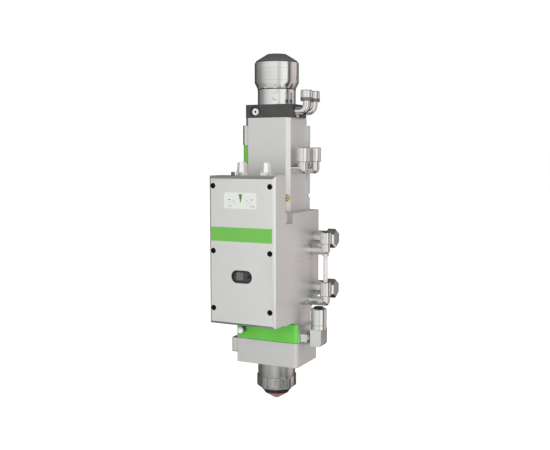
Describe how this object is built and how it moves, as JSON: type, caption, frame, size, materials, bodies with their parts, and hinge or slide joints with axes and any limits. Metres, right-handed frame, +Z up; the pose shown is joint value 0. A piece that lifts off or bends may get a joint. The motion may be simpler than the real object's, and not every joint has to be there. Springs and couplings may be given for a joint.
{
  "type": "laser cutting head",
  "caption": "Upright laser processing head with a front focus drive box, a fibre receiver on top, a pull-out window drawer, hose ports on one side and a conical cutting nozzle below.",
  "frame": {"origin": "centre of the four mounting threads in the back face", "axes": "+Z up along the beam, -Y the front with the drive cover, +X the side with the hose ports"},
  "size_m": [0.1183, 0.1145, 0.3862],
  "materials": {
    "housing": "fine satin",
    "cover": "satin",
    "green": "satin",
    "label": "smooth",
    "black_metal": "black anodised",
    "black_screw": "black oxide",
    "chrome": "polished",
    "steel": "turned",
    "aluminium": "machined",
    "brass": "turned",
    "copper": "turned copper",
    "ceramic": "fired ceramic",
    "glass": "coated",
    "dark_plastic": "moulded",
    "white_plastic": "moulded",
    "tube": "smooth",
    "rubber": "matt",
    "scale": "smooth"
  },
  "bodies": {
    "housing": {"main_housing": "housing", "drive_box": "housing", "front_cover": "cover", "cover_screws": "black_screw", "window_pane": "glass", "green_stripe": "green", "index_plate": "label", "collimator_housing": "housing", "brass_screw": "brass", "collimator_cell": "aluminium", "collimator_lens": "glass", "left_side_cover": "housing", "green_inlay": "green", "back_plate": "housing", "cap_screws": "black_screw", "stepper_motor": "black_metal", "guide_rods": "steel", "clamp_block": "black_metal", "clamp_screw": "steel", "receiver_barrel": "chrome", "neck_plate": "housing", "nozzle_housing": "housing", "sensor_barrel": "steel", "nozzle_nut": "steel", "ceramic_ring": "ceramic", "nozzle": "copper", "sensor_connector": "chrome", "top_tubes": "chrome", "top_nuts": "chrome", "side_elbow_front": "chrome", "side_elbow_rear": "chrome", "side_nuts": "chrome", "station_elbow_upper": "chrome", "station_elbow_lower": "chrome", "station_nuts": "chrome", "link_tube": "tube", "side_coupling_upper": "chrome", "side_coupling_lower": "chrome", "gas_adapter": "chrome", "gas_elbow": "chrome", "gas_socket": "chrome", "gland_bodies": "chrome", "gland_nuts": "chrome"},
    "carriage": {"lens_carriage": "aluminium", "lead_nut": "brass", "focus_lens": "glass", "lens_ring": "black_metal", "scale_strip": "scale", "sight_disc": "dark_plastic"},
    "screw": {"lead_screw": "steel", "motor_coupling": "aluminium", "motor_shaft": "steel"},
    "collar": {"lock_collar": "chrome"},
    "plug": {"dust_plug": "dark_plastic"},
    "drawer": {"window_drawer": "green", "protective_window": "glass", "window_gasket": "rubber", "knob_stem": "dark_plastic", "knob_ball": "white_plastic"},
    "gas_ring": {"gas_release_ring": "dark_plastic"}
  },
  "joints": [
    {"name": "focus_slide", "type": "slide", "parent": "housing", "child": "carriage", "axis": [0, 0, 1], "range_m": [-0.01, 0.01]},
    {"name": "screw_spin", "type": "hinge", "parent": "housing", "child": "screw", "pos_m": [0, -0.098, 0], "axis": [0, 0, 1], "range_deg": [-1801, 1801]},
    {"name": "collar_turn", "type": "hinge", "parent": "housing", "child": "collar", "pos_m": [0, -0.03, 0.21], "axis": [0, 0, 1], "range_deg": [0, 50]},
    {"name": "plug_pull", "type": "slide", "parent": "housing", "child": "plug", "axis": [0, 0, 1], "range_m": [0, 0.04]},
    {"name": "drawer_pull", "type": "slide", "parent": "housing", "child": "drawer", "axis": [0, -1, 0], "range_m": [0, 0.036]},
    {"name": "ring_press", "type": "slide", "parent": "housing", "child": "gas_ring", "axis": [0, 0, -1], "range_m": [0, 0.0012], "stiffness_N_per_m": 1000}
  ],
  "couplings": [
    {"joint": "screw_spin", "follows": "focus_slide", "rad_per_m": -3141.6}
  ]
}
